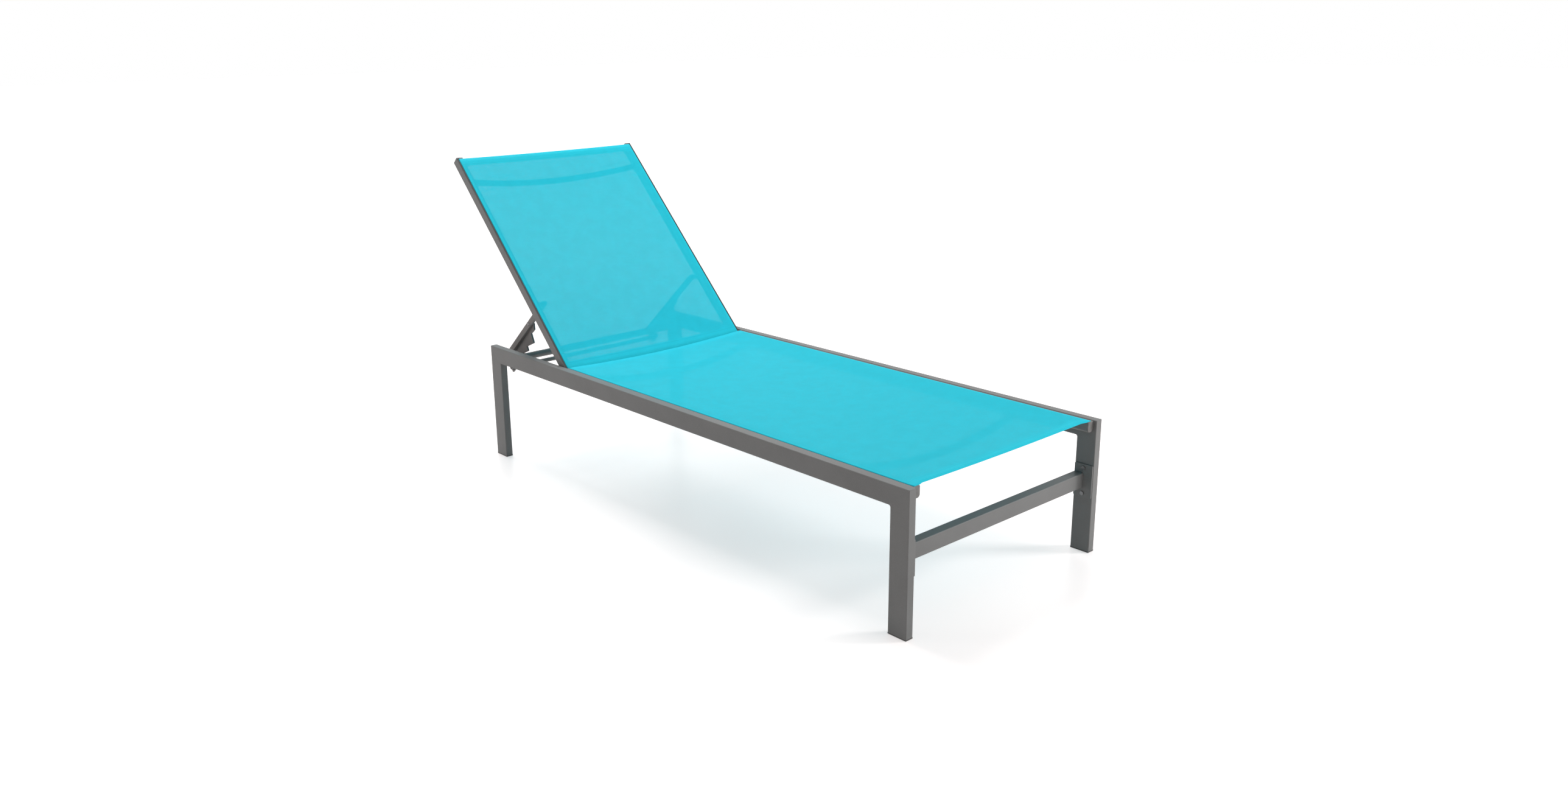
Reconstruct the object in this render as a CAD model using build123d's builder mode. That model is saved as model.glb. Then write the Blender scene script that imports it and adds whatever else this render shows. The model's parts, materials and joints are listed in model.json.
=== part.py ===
from build123d import *
import math
import os

os.makedirs("parts", exist_ok=True)

# Overall frame: X across the lounge, foot end at -Y, head end at +Y, floor at Z = 0
overall_width = 640
base_length = 1530
rail_top = 315

# Side frame tubes
frame_tube_width = 20
side_rail_height = 43.5
leg_depth = 48
frame_wall = 1.8
frame_edge_radius = 1.8
frame_edge_chamfer = 1
front_knee_radius = 5

# Feet
foot_cap_height = 3.5
foot_plug_height = 14
foot_edge_chamfer = 1
plug_clearance = 0.1

# Front stretcher
stretcher_height = 35
stretcher_depth = 24
stretcher_bottom = 152.5
stretcher_wall = 1.6
flange_thickness = 3
flange_height = 78
flange_corner_chamfer = 2
flange_setback = 1.2
stretcher_screw_diameter = 5
stretcher_screw_length = 12
stretcher_screw_edge = 9

# Back: hinge place, length of its rails and lean
hinge_from_rear = 331.5
hinge_height = 302
back_length = 712
back_lean = 45.5
hinge_gap = 2

# Sling rails, grooved extrusions
sling_rail_width = 20
seat_rail_depth = 24.5
back_rail_depth = 24
seat_rail_bottom_radius = 7
back_rail_bottom_radius = 3
sling_rail_top_chamfer = 1
sling_rail_wall = 1.8
groove_from_outer_face = 6
groove_cover = 1.6
slot_width = 3
spline_diameter = 5
sleeve_gap = 0.3
seat_rail_front_setback = 8
hinge_end_clearance = 2
rail_cap_thickness = 3
rail_cap_plug = 12
rail_cap_edge_chamfer = 0.8

# Slings
sling_thickness = 1.2
sling_gap = 0.3
seat_sag = 9
back_sag = 8
seat_hem_setback = 5
seat_sling_end_setback = 3
back_sling_past_hinge = 5
back_sling_head_setback = 2.5

# Bowed spreader bars
brace_diameter = 17
brace_sides = 14
brace_runs = 10
brace_above_rounding = 3
seat_brace_bow = 34
back_brace_bow = 30
seat_front_brace_from_foot = 190
seat_rear_brace_from_hinge = 93.5
back_brace_from_hinge = 630
brace_straight_end = 4
tab_thickness = 2.5
tab_width = 18
tab_length = 40
tab_beyond_bar = 2
tab_corner_chamfer = 3
tab_screw_from_end = 9
tab_screw_diameter = 5
tab_screw_length = 14
screw_head_share = 1.9
screw_head_height_share = 0.5
small_fastener_sides = 12
nut_sides = 6

# Bolts that hold the seat rails on the side rails
rail_bolt_diameter = 6
rail_bolt_count = 3
rail_bolt_end_distance = 60
rail_bolt_length = 26
rail_bolt_height_above_rail_bottom = 8

# Hinge bolts
hinge_bolt_diameter = 8
hinge_running_clearance = 0.05
bolt_seat_clearance = 0.05
nut_height_share = 0.8
nut_width_share = 1.625
washer_outer_share = 2.1

# Prop frame that holds the back up
prop_pivot_from_hinge = 213
prop_angle = -42
prop_arm_depth = 15
prop_arm_thickness = 8
prop_arm_gap = 20
prop_arm_length = 292
arm_end_radius = 3
pivot_bolt_diameter = 6
bush_diameter = 12
bush_end_clearance = 0.3

# Catch tube and the teeth that rest on it
catch_tube_diameter = 19
catch_tube_wall = 2
catch_from_rear = 56
catch_clearance = 0.3
tooth_pitch = 42
tooth_height = 12.5
tooth_wall_angle = 72
tooth_tip_radius = 1.5
teeth_above_seat = 2
teeth_below_seat = 1
first_recess_depth = 11
bump_to_recess = 13
bump_length = 9
bump_rise_length = 10
bump_depth = 12.5
plate_thickness = 5
plate_edge_from_arm = 2
rivet_diameter = 6
rivet_head_diameter = 11
rivet_head_height = 2.4
rivet_head_taper = 40
rivet_count = 2
rivet_end_distance = 16

# Tie rod between the lower ends of the plates
tie_rod_diameter = 12
tie_stud_diameter = 8
tie_rod_end_distance = 13
tie_rod_from_arm_edge = 27
tie_nut_protrusion = 2

# One overrun for every cut that passes through
overrun = 20

# Places that follow from the sizes above
lean = math.radians(back_lean)
half_width = overall_width / 2
frame_inner_x = half_width - frame_tube_width
back_outer_x = frame_inner_x - hinge_gap
back_inner_x = back_outer_x - sling_rail_width
seat_inner_x = frame_inner_x - sling_rail_width
prop_arm_outer_x = back_inner_x - prop_arm_gap
back_half_depth = back_rail_depth / 2
hinge_from_foot = base_length - hinge_from_rear
overall_length = hinge_from_foot + back_length * math.cos(lean) + back_half_depth * math.sin(lean)
foot_y = -overall_length / 2
hinge_y = foot_y + hinge_from_foot
side_rail_bottom = rail_top - side_rail_height
seat_rail_top = rail_top - sling_thickness - sling_gap
seat_rail_bottom = seat_rail_top - seat_rail_depth
seat_rail_end = hinge_from_foot - back_half_depth - hinge_end_clearance
spline_channel = spline_diameter + sleeve_gap * 2

# Front stretcher: its rear face is flush with the legs' rear faces
stretcher_middle = leg_depth - stretcher_depth / 2
stretcher_centre_z = stretcher_bottom + stretcher_height / 2
stretcher_end_x = frame_inner_x - flange_thickness
stretcher_screw_places = [
    (leg_depth / 2, stretcher_centre_z - flange_height / 2 + stretcher_screw_edge),
    (leg_depth / 2, stretcher_centre_z + flange_height / 2 - stretcher_screw_edge),
]

# Bolts of the seat rails, evenly spaced along them
rail_bolt_first = seat_rail_front_setback + rail_bolt_end_distance
rail_bolt_step = (seat_rail_end - rail_bolt_end_distance - rail_bolt_first) / (rail_bolt_count - 1)
rail_bolt_places = [
    (rail_bolt_first + rail_bolt_step * index, seat_rail_bottom + rail_bolt_height_above_rail_bottom)
    for index in range(rail_bolt_count)
]

# Bowed bars: height on their rails, and the screw in each tab
tab_screw_offset = tab_length - tab_beyond_bar - brace_diameter / 2 - tab_screw_from_end
seat_brace_above = seat_rail_bottom + seat_rail_bottom_radius + brace_above_rounding
seat_brace_places = (
    ("front", seat_front_brace_from_foot, 1),
    ("rear", hinge_from_foot - seat_rear_brace_from_hinge, -1),
)

base_frame = Plane(origin=(0, foot_y, 0))
back_frame = Plane(
    origin=(0, hinge_y, hinge_height),
    x_dir=(1, 0, 0),
    z_dir=(0, -math.sin(lean), math.cos(lean)),
)

# The prop pivots lie in the middle of the back rails' hollow, where their nuts fit
pivot_above = (sling_rail_wall - groove_cover - spline_channel - sling_rail_wall) / 2
pivot_place = back_frame.from_local_coords((0, prop_pivot_from_hinge, pivot_above))
prop_turn = math.radians(prop_angle)
prop_frame = Plane(
    origin=pivot_place,
    x_dir=(1, 0, 0),
    z_dir=(0, -math.sin(prop_turn), math.cos(prop_turn)),
)

# The catch tube lies just under the back rails when the back is flat
catch_radius = catch_tube_diameter / 2
catch_y = foot_y + base_length - catch_from_rear
catch_z = hinge_height - back_half_depth - catch_clearance - catch_radius


def side_plane(frame, x):
    """Plane square to X, drawn in (along the frame, above the frame)."""
    origin = frame.from_local_coords((x, 0, 0))
    return Plane(origin=origin, x_dir=frame.y_dir, z_dir=frame.x_dir)


def cross_plane(frame, along):
    """Plane square to the frame's length, drawn in (across, above); extrudes back to the foot."""
    origin = frame.from_local_coords((0, along, 0))
    return Plane(origin=origin, x_dir=frame.x_dir, z_dir=-frame.y_dir)


def span_start(side, inner, outer):
    """Lower X of a span that lies between two distances from the middle plane."""
    return min(side * inner, side * outer)


def finish(name, part):
    """Label one sub-part and write its file."""
    part.label = name
    export_step(part, f"parts/{name}.step")


def small_round(diameter, mode=Mode.ADD):
    """Outline of a small screw, rivet or its hole, with a few flat sides."""
    RegularPolygon(diameter / 2, small_fastener_sides, mode=mode)


SIDES = (("left", -1), ("right", 1))


# Side frames: one U of mitred tube on each side

front_mitre = Plane(
    origin=base_frame.from_local_coords((0, 0, rail_top)),
    x_dir=(1, 0, 0),
    z_dir=(0, side_rail_height, leg_depth),
)
rear_mitre = Plane(
    origin=base_frame.from_local_coords((0, base_length, rail_top)),
    x_dir=(1, 0, 0),
    z_dir=(0, -side_rail_height, leg_depth),
)


def side_frame_blank(side):
    """The closed U outline of one side, hollow, before it is parted at the mitres."""
    start = span_start(side, frame_inner_x, half_width)
    leg_height = rail_top - foot_cap_height
    opening_height = side_rail_bottom - foot_cap_height
    opening_length = base_length - leg_depth * 2
    hollow_length = base_length - frame_wall * 2
    with BuildPart() as blank:
        with BuildSketch(side_plane(base_frame, start)):
            with Locations((0, foot_cap_height)):
                Rectangle(base_length, leg_height, align=(Align.MIN, Align.MIN))
            with Locations((leg_depth, foot_cap_height)):
                Rectangle(opening_length, opening_height, align=(Align.MIN, Align.MIN), mode=Mode.SUBTRACT)
            knees = vertices().filter_by_position(Axis.X, leg_depth, base_length - leg_depth)
            front_knee = knees.group_by(Axis.Y)[-1].sort_by(Axis.X)[0]
            fillet(front_knee, radius=front_knee_radius)
        extrude(amount=frame_tube_width)
        outer_faces = edges().group_by(Axis.X)[0] + edges().group_by(Axis.X)[-1]
        raised = outer_faces.filter_by(lambda edge: edge.center().Z > foot_cap_height + frame_wall)
        chamfer(raised, length=frame_edge_chamfer)
        with BuildSketch(side_plane(base_frame, start + frame_wall)):
            with Locations((frame_wall, foot_cap_height)):
                Rectangle(hollow_length, leg_height - frame_wall, align=(Align.MIN, Align.MIN))
            with Locations((leg_depth - frame_wall, foot_cap_height)):
                Rectangle(
                    opening_length + frame_wall * 2,
                    opening_height + frame_wall,
                    align=(Align.MIN, Align.MIN),
                    mode=Mode.SUBTRACT,
                )
        extrude(amount=frame_tube_width - frame_wall * 2, mode=Mode.SUBTRACT)
    return blank.part


blanks = {side_name: side_frame_blank(side) for side_name, side in SIDES}

for side_name, side in SIDES:
    with BuildPart() as side_rail:
        add(blanks[side_name])
        split(bisect_by=front_mitre, keep=Keep.TOP)
        split(bisect_by=rear_mitre, keep=Keep.TOP)
        # Hole in the inner wall for the hinge bolt
        with BuildSketch(side_plane(back_frame, side * frame_inner_x)):
            Circle(hinge_bolt_diameter / 2 + bolt_seat_clearance)
        extrude(amount=frame_wall, both=True, mode=Mode.SUBTRACT)
        # Holes in the inner wall for the seat rail bolts
        with BuildSketch(side_plane(base_frame, side * frame_inner_x)):
            with Locations(*rail_bolt_places):
                small_round(rail_bolt_diameter + bolt_seat_clearance * 2)
        extrude(amount=frame_wall, both=True, mode=Mode.SUBTRACT)
    finish(f"side_rail_{side_name}", side_rail.part)

    with BuildPart() as front_leg:
        add(blanks[side_name])
        split(bisect_by=front_mitre, keep=Keep.BOTTOM)
        # Holes in the inner wall for the stretcher's screws
        with BuildSketch(side_plane(base_frame, side * frame_inner_x)):
            with Locations(*stretcher_screw_places):
                small_round(stretcher_screw_diameter + bolt_seat_clearance * 2)
        extrude(amount=frame_wall, both=True, mode=Mode.SUBTRACT)
    finish(f"front_leg_{side_name}", front_leg.part)

    with BuildPart() as rear_leg:
        add(blanks[side_name])
        split(bisect_by=rear_mitre, keep=Keep.BOTTOM)
    finish(f"rear_leg_{side_name}", rear_leg.part)


# Foot caps: a plug in each leg and a thin glide below it

leg_centres = (leg_depth / 2, base_length - leg_depth / 2)
with BuildPart() as foot_caps:
    for side_name, side in SIDES:
        for leg_centre in leg_centres:
            centre = (side * (half_width - frame_tube_width / 2), leg_centre)
            with BuildSketch(base_frame):
                with Locations(centre):
                    Rectangle(frame_tube_width, leg_depth)
            extrude(amount=foot_cap_height)
            plug_width = frame_tube_width - frame_wall * 2 - plug_clearance * 2
            plug_depth = leg_depth - frame_wall * 2 - plug_clearance * 2
            with BuildSketch(base_frame.offset(foot_cap_height)):
                with Locations(centre):
                    Rectangle(plug_width, plug_depth)
            extrude(amount=foot_plug_height)
    chamfer(foot_caps.edges().group_by(Axis.Z)[0], length=foot_edge_chamfer)
finish("foot_caps", foot_caps.part)


# Front stretcher, carried by a screwed flange on each leg

with BuildPart() as front_stretcher:
    with BuildSketch(side_plane(base_frame, -stretcher_end_x)):
        with Locations((stretcher_middle, stretcher_centre_z)):
            RectangleRounded(stretcher_depth, stretcher_height, frame_edge_radius)
            Rectangle(
                stretcher_depth - stretcher_wall * 2,
                stretcher_height - stretcher_wall * 2,
                mode=Mode.SUBTRACT,
            )
    extrude(amount=stretcher_end_x * 2)
finish("front_stretcher", front_stretcher.part)

flange_depth = leg_depth - flange_setback * 2
with BuildPart() as stretcher_flanges:
    for side_name, side in SIDES:
        with BuildSketch(side_plane(base_frame, span_start(side, stretcher_end_x, frame_inner_x))):
            with Locations((leg_depth / 2, stretcher_centre_z)):
                Rectangle(flange_depth, flange_height)
            chamfer(vertices(), length=flange_corner_chamfer)
            with Locations(*stretcher_screw_places):
                small_round(stretcher_screw_diameter + bolt_seat_clearance * 2, mode=Mode.SUBTRACT)
        extrude(amount=flange_thickness)
finish("stretcher_flanges", stretcher_flanges.part)


def cap_screw(plane, diameter, length):
    """Screw whose shank enters along the plane's normal; its low head stands in front of it."""
    with BuildPart() as screw:
        with BuildSketch(plane):
            small_round(diameter)
        extrude(amount=length)
        with BuildSketch(plane):
            small_round(diameter * screw_head_share)
        extrude(amount=-diameter * screw_head_height_share)
    return screw.part


def pivot_bolt(plane, diameter, length):
    """Bolt with a round shank that enters along the plane's normal, and a low head in front of it."""
    with BuildPart() as bolt:
        with BuildSketch(plane):
            Circle(diameter / 2)
        extrude(amount=length)
        with BuildSketch(plane):
            small_round(diameter * screw_head_share)
        extrude(amount=-diameter * screw_head_height_share)
    return bolt.part


def facing_outward(side, x, along, above, frame):
    """Plane at one point of a side face, whose normal points away from the middle plane."""
    origin = frame.from_local_coords((x, along, above))
    return Plane(origin=origin, x_dir=frame.y_dir, z_dir=frame.x_dir * side)


# The screws pass the flange and the leg's inner wall
with BuildPart() as stretcher_screws:
    for side_name, side in SIDES:
        for along, above in stretcher_screw_places:
            seat = facing_outward(side, side * stretcher_end_x, along, above, base_frame)
            add(cap_screw(seat, stretcher_screw_diameter, stretcher_screw_length))
finish("stretcher_screws", stretcher_screws.part)


# Catch tube, welded between the side frames

with BuildPart() as catch_tube:
    with BuildSketch(Plane(origin=(-frame_inner_x, catch_y, catch_z), x_dir=(0, 1, 0), z_dir=(1, 0, 0))):
        Circle(catch_radius)
        Circle(catch_radius - catch_tube_wall, mode=Mode.SUBTRACT)
    extrude(amount=frame_inner_x * 2)
finish("catch_tube", catch_tube.part)


# Sling rails

def sling_rail(frame, side, outer_x, top, depth, bottom_radius, start, end):
    """Grooved extrusion that grips the sling's edge: outer wall, keyhole groove and hollow."""
    centre_x = side * (outer_x - sling_rail_width / 2)
    groove_x = side * (outer_x - groove_from_outer_face)
    groove_z = top - groove_cover - spline_channel / 2
    hollow_top = groove_z - spline_channel / 2 - sling_rail_wall
    hollow_bottom = top - depth + sling_rail_wall
    with BuildPart() as rail:
        with BuildSketch(cross_plane(frame, end)):
            with Locations((centre_x, top - depth / 2)):
                Rectangle(sling_rail_width, depth)
            fillet(vertices().group_by(Axis.Y)[0], radius=bottom_radius)
            chamfer(vertices().group_by(Axis.Y)[-1], length=sling_rail_top_chamfer)
            with Locations((groove_x, groove_z)):
                small_round(spline_channel, mode=Mode.SUBTRACT)
                Rectangle(
                    slot_width,
                    spline_channel / 2 + groove_cover,
                    align=(Align.CENTER, Align.MIN),
                    mode=Mode.SUBTRACT,
                )
        extrude(amount=end - start)
        with BuildSketch(cross_plane(frame, end)):
            with Locations((centre_x, (hollow_top + hollow_bottom) / 2)):
                Rectangle(sling_rail_width - sling_rail_wall * 2, hollow_top - hollow_bottom)
            fillet(vertices().group_by(Axis.Y)[0], radius=bottom_radius - sling_rail_wall)
        extrude(amount=end - start, mode=Mode.SUBTRACT)
    return rail.part


for side_name, side in SIDES:
    seat_blank = sling_rail(
        base_frame,
        side,
        frame_inner_x,
        seat_rail_top,
        seat_rail_depth,
        seat_rail_bottom_radius,
        seat_rail_front_setback + rail_cap_thickness,
        seat_rail_end - rail_cap_thickness,
    )
    with BuildPart() as seat_rail:
        add(seat_blank)
        with BuildSketch(side_plane(base_frame, side * frame_inner_x)):
            with Locations(*rail_bolt_places):
                small_round(rail_bolt_diameter + bolt_seat_clearance * 2)
        extrude(amount=sling_rail_width + overrun, both=True, mode=Mode.SUBTRACT)
        # Holes in the inner wall for the screws of the bowed bars
        with BuildSketch(side_plane(base_frame, side * seat_inner_x)):
            for place_name, along, screw_direction in seat_brace_places:
                with Locations((along + screw_direction * tab_screw_offset, seat_brace_above)):
                    small_round(tab_screw_diameter + bolt_seat_clearance * 2)
        extrude(amount=seat_rail_bottom_radius, both=True, mode=Mode.SUBTRACT)
    finish(f"seat_rail_{side_name}", seat_rail.part)


# End caps of the sling rails

def rail_cap(frame, side, outer_x, top, depth, bottom_radius, rail_end, direction):
    """Plastic cap on one end of a sling rail, with a plug in the rail's hollow."""
    centre_x = side * (outer_x - sling_rail_width / 2)
    hollow_top = top - groove_cover - spline_channel - sling_rail_wall
    hollow_bottom = top - depth + sling_rail_wall
    origin = frame.from_local_coords((0, rail_end, 0))
    outward = Plane(origin=origin, x_dir=frame.x_dir * -direction, z_dir=frame.y_dir * direction)
    across = -direction * centre_x
    with BuildPart() as cap:
        with BuildSketch(outward):
            with Locations((across, top - depth / 2)):
                Rectangle(sling_rail_width, depth)
            fillet(vertices().group_by(Axis.Y)[0], radius=bottom_radius)
            chamfer(vertices().group_by(Axis.Y)[-1], length=sling_rail_top_chamfer)
        extrude(amount=rail_cap_thickness)
        outer_face = cap.faces().sort_by(lambda face: outward.to_local_coords(face.center()).Z)[-1]
        chamfer(outer_face.edges(), length=rail_cap_edge_chamfer)
        with BuildSketch(outward):
            with Locations((across, (hollow_top + hollow_bottom) / 2)):
                Rectangle(
                    sling_rail_width - sling_rail_wall * 2 - plug_clearance * 2,
                    hollow_top - hollow_bottom - plug_clearance * 2,
                )
            fillet(vertices().group_by(Axis.Y)[0], radius=bottom_radius - sling_rail_wall)
        extrude(amount=-rail_cap_plug)
    return cap.part


seat_caps = []
for side_name, side in SIDES:
    for rail_end, direction in (
        (seat_rail_front_setback + rail_cap_thickness, -1),
        (seat_rail_end - rail_cap_thickness, 1),
    ):
        seat_caps.append(rail_cap(
            base_frame,
            side,
            frame_inner_x,
            seat_rail_top,
            seat_rail_depth,
            seat_rail_bottom_radius,
            rail_end,
            direction,
        ))
with BuildPart() as seat_rail_caps:
    add(seat_caps)
finish("seat_rail_caps", seat_rail_caps.part)


# Back rails: the foot end is rounded about the hinge

back_blanks = {}
for side_name, side in SIDES:
    back_blanks[side_name] = sling_rail(
        back_frame,
        side,
        back_outer_x,
        back_half_depth,
        back_rail_depth,
        back_rail_bottom_radius,
        -back_half_depth,
        back_length - rail_cap_thickness,
    )

for side_name, side in SIDES:
    with BuildPart() as back_rail:
        add(back_blanks[side_name])
        # Round the foot end about the hinge axis
        with BuildSketch(side_plane(back_frame, 0)):
            with Locations((-back_half_depth - overrun, 0)):
                Rectangle(
                    back_half_depth + overrun,
                    back_rail_depth + overrun,
                    align=(Align.MIN, Align.CENTER),
                )
            Circle(back_half_depth, mode=Mode.SUBTRACT)
        extrude(amount=half_width, both=True, mode=Mode.SUBTRACT)
        # Bore for the hinge bolt through both walls
        with BuildSketch(side_plane(back_frame, 0)):
            Circle(hinge_bolt_diameter / 2 + hinge_running_clearance)
        extrude(amount=half_width, both=True, mode=Mode.SUBTRACT)
        # Hole in the inner wall for the prop's pivot bolt
        with BuildSketch(side_plane(back_frame, side * back_inner_x)):
            with Locations((prop_pivot_from_hinge, pivot_above)):
                Circle(pivot_bolt_diameter / 2 + bolt_seat_clearance)
        extrude(amount=sling_rail_wall * 2, both=True, mode=Mode.SUBTRACT)
        # Hole in the inner wall for the screw of the bowed bar
        with BuildSketch(side_plane(back_frame, side * back_inner_x)):
            with Locations((back_brace_from_hinge - tab_screw_offset, 0)):
                small_round(tab_screw_diameter + bolt_seat_clearance * 2)
        extrude(amount=sling_rail_wall * 2, both=True, mode=Mode.SUBTRACT)
    finish(f"back_rail_{side_name}", back_rail.part)

head_caps = [
    rail_cap(
        back_frame,
        side,
        back_outer_x,
        back_half_depth,
        back_rail_depth,
        back_rail_bottom_radius,
        back_length - rail_cap_thickness,
        1,
    )
    for side_name, side in SIDES
]
with BuildPart() as back_rail_caps:
    add(head_caps)
finish("back_rail_caps", back_rail_caps.part)


# Slings and their splines

def sling_sheet(frame, rail_outer_x, top, sag, start, end):
    """A sagging sheet whose edges turn down into the slots of its two rails."""
    slot_x = rail_outer_x - groove_from_outer_face
    inner_x = rail_outer_x - sling_rail_width
    edge_outer = slot_x + sling_thickness / 2
    edge_inner = slot_x - sling_thickness / 2
    edge_bottom = top - sling_thickness - sling_gap - groove_cover
    under = top - sling_thickness
    with BuildPart() as sheet:
        with BuildSketch(cross_plane(frame, end)):
            with BuildLine():
                Polyline((inner_x, top), (edge_outer, top), (edge_outer, edge_bottom))
                Polyline((edge_outer, edge_bottom), (edge_inner, edge_bottom), (edge_inner, under))
                Line((edge_inner, under), (inner_x, under))
                ThreePointArc((inner_x, under), (0, under - sag), (-inner_x, under))
                Line((-inner_x, under), (-edge_inner, under))
                Polyline((-edge_inner, under), (-edge_inner, edge_bottom), (-edge_outer, edge_bottom))
                Polyline((-edge_outer, edge_bottom), (-edge_outer, top), (-inner_x, top))
                ThreePointArc((-inner_x, top), (0, top - sag), (inner_x, top))
            make_face()
        extrude(amount=end - start)
    return sheet.part


def splines(frame, rail_outer_x, rail_top_z, start, end):
    """Round cords that lock a sling's edges in the rails' grooves."""
    groove_x = rail_outer_x - groove_from_outer_face
    groove_z = rail_top_z - groove_cover - spline_channel / 2
    with BuildPart() as cords:
        with BuildSketch(cross_plane(frame, end)):
            with Locations((-groove_x, groove_z), (groove_x, groove_z)):
                small_round(spline_diameter)
        extrude(amount=end - start)
    return cords.part


seat_sling_start = seat_rail_front_setback + rail_cap_thickness
seat_sling_end = seat_rail_end - seat_sling_end_setback
seat_sheet = sling_sheet(
    base_frame, frame_inner_x, rail_top, seat_sag, seat_sling_start, seat_sling_end
)
with BuildPart() as seat_sling:
    add(seat_sheet)
    # The free hem lies behind the front ends of the side sleeves
    with BuildSketch(base_frame.offset(rail_top - overrun)):
        with Locations((0, seat_sling_start)):
            Rectangle(seat_inner_x * 2, seat_hem_setback * 2)
    extrude(amount=overrun * 2, mode=Mode.SUBTRACT)
finish("seat_sling", seat_sling.part)
finish("seat_splines", splines(base_frame, frame_inner_x, seat_rail_top, seat_sling_start, seat_sling_end))

back_sling_top = back_half_depth + sling_gap + sling_thickness
back_sling_start = -back_sling_past_hinge
back_sling_end = back_length - back_sling_head_setback - rail_cap_thickness
back_sheet = sling_sheet(
    back_frame, back_outer_x, back_sling_top, back_sag, back_sling_start, back_sling_end
)
finish("back_sling", back_sheet)
finish(
    "back_splines",
    splines(back_frame, back_outer_x, back_half_depth, back_sling_start, back_sling_end),
)


# Bowed spreader bars with their screwed end tabs

def bowed_brace(frame, inner_x, along, above, bow, screw_direction):
    """Bar bowed away from the sling, in short straight runs, with a tab welded on each end."""
    tab_inner_x = inner_x - tab_thickness
    bar_end_x = inner_x - tab_thickness / 2
    bow_end_x = inner_x - brace_straight_end
    with BuildPart() as brace:
        # Drawn upright about the middle of the bar, with the rails along Y
        with BuildLine(Plane.XZ):
            bow_arc = ThreePointArc((-bow_end_x, 0), (0, -bow), (bow_end_x, 0))
        run_ends = [bow_arc @ (run / brace_runs) for run in range(brace_runs + 1)]
        with BuildLine() as bow_line:
            Polyline((-bar_end_x, 0, 0), *run_ends, (bar_end_x, 0, 0))
        with BuildSketch(side_plane(Plane.XY, -bar_end_x)):
            RegularPolygon(brace_diameter / 2, brace_sides)
        sweep(path=bow_line.wires()[0], transition=Transition.RIGHT)
        for side_name, side in SIDES:
            tab_middle = screw_direction * (tab_length / 2 - brace_diameter / 2 - tab_beyond_bar)
            with BuildSketch(side_plane(Plane.XY, span_start(side, tab_inner_x, inner_x))):
                with Locations((tab_middle, 0)):
                    Rectangle(tab_length, tab_width)
                chamfer(vertices(), length=tab_corner_chamfer)
                with Locations((screw_direction * tab_screw_offset, 0)):
                    small_round(tab_screw_diameter + bolt_seat_clearance * 2, mode=Mode.SUBTRACT)
            extrude(amount=tab_thickness)
    place = Plane(
        origin=frame.from_local_coords((0, along, above)),
        x_dir=frame.x_dir,
        z_dir=frame.z_dir,
    )
    return place.location * brace.part


def brace_screws(frame, inner_x, along, above, screw_direction):
    """The two screws that hold one bar's tabs on the rails."""
    screws = []
    for side_name, side in SIDES:
        screw_along = along + screw_direction * tab_screw_offset
        seat = facing_outward(side, side * (inner_x - tab_thickness), screw_along, above, frame)
        screws.append(cap_screw(seat, tab_screw_diameter, tab_screw_length))
    return screws


for place_name, along, screw_direction in seat_brace_places:
    finish(
        f"seat_brace_{place_name}",
        bowed_brace(base_frame, seat_inner_x, along, seat_brace_above, seat_brace_bow, screw_direction),
    )
finish("back_brace", bowed_brace(back_frame, back_inner_x, back_brace_from_hinge, 0, back_brace_bow, -1))


# Screws of the bars

seat_brace_screws = []
for place_name, along, screw_direction in seat_brace_places:
    seat_brace_screws += brace_screws(base_frame, seat_inner_x, along, seat_brace_above, screw_direction)
with BuildPart() as seat_screws:
    add(seat_brace_screws)
finish("seat_brace_screws", seat_screws.part)
with BuildPart() as back_screws:
    add(brace_screws(back_frame, back_inner_x, back_brace_from_hinge, 0, -1))
finish("back_brace_screws", back_screws.part)


# Fasteners along X

def hex_nut(frame, side, inner_x, centre, diameter, length):
    """Hexagon nut on a stud that runs along X, from inner_x outward."""
    with BuildPart() as nut:
        with BuildSketch(side_plane(frame, span_start(side, inner_x, inner_x + length))):
            with Locations(centre):
                RegularPolygon(diameter * nut_width_share / 2, nut_sides, major_radius=False)
                RegularPolygon(
                    diameter / 2 + bolt_seat_clearance,
                    small_fastener_sides,
                    major_radius=False,
                    mode=Mode.SUBTRACT,
                )
        extrude(amount=length)
    return nut.part


def ring(frame, side, inner_x, centre, bore, outer, length):
    """Washer or bush about an axis along X, from inner_x outward."""
    with BuildPart() as body:
        with BuildSketch(side_plane(frame, span_start(side, inner_x, inner_x + length))):
            with Locations(centre):
                small_round(outer)
                RegularPolygon(bore / 2, small_fastener_sides, major_radius=False, mode=Mode.SUBTRACT)
        extrude(amount=length)
    return body.part


def finish_group(name, pieces):
    """Write several solids of one kind as one node."""
    with BuildPart() as group:
        add(pieces)
    finish(name, group.part)


hinge_centre = (0, 0)
hinge_nut_inner_x = frame_inner_x + frame_wall
hinge_nut_length = hinge_bolt_diameter * nut_height_share
hinge_head_x = back_inner_x - hinge_running_clearance

# Hinge bolts: head on the back rail's inner face, nut inside the side rail
hinge_bolts = []
hinge_washers = []
hinge_nuts = []
for side_name, side in SIDES:
    seat = facing_outward(side, side * hinge_head_x, 0, 0, back_frame)
    bolt_length = hinge_nut_inner_x + hinge_nut_length - hinge_head_x
    hinge_bolts.append(pivot_bolt(seat, hinge_bolt_diameter, bolt_length))
    hinge_washers.append(ring(
        back_frame,
        side,
        back_outer_x + hinge_running_clearance,
        hinge_centre,
        hinge_bolt_diameter + bolt_seat_clearance * 2,
        hinge_bolt_diameter * washer_outer_share,
        hinge_gap - hinge_running_clearance,
    ))
    hinge_nuts.append(hex_nut(
        back_frame, side, hinge_nut_inner_x, hinge_centre, hinge_bolt_diameter, hinge_nut_length
    ))
finish_group("hinge_bolts", hinge_bolts)
finish_group("hinge_washers", hinge_washers)
finish_group("hinge_nuts", hinge_nuts)

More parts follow.
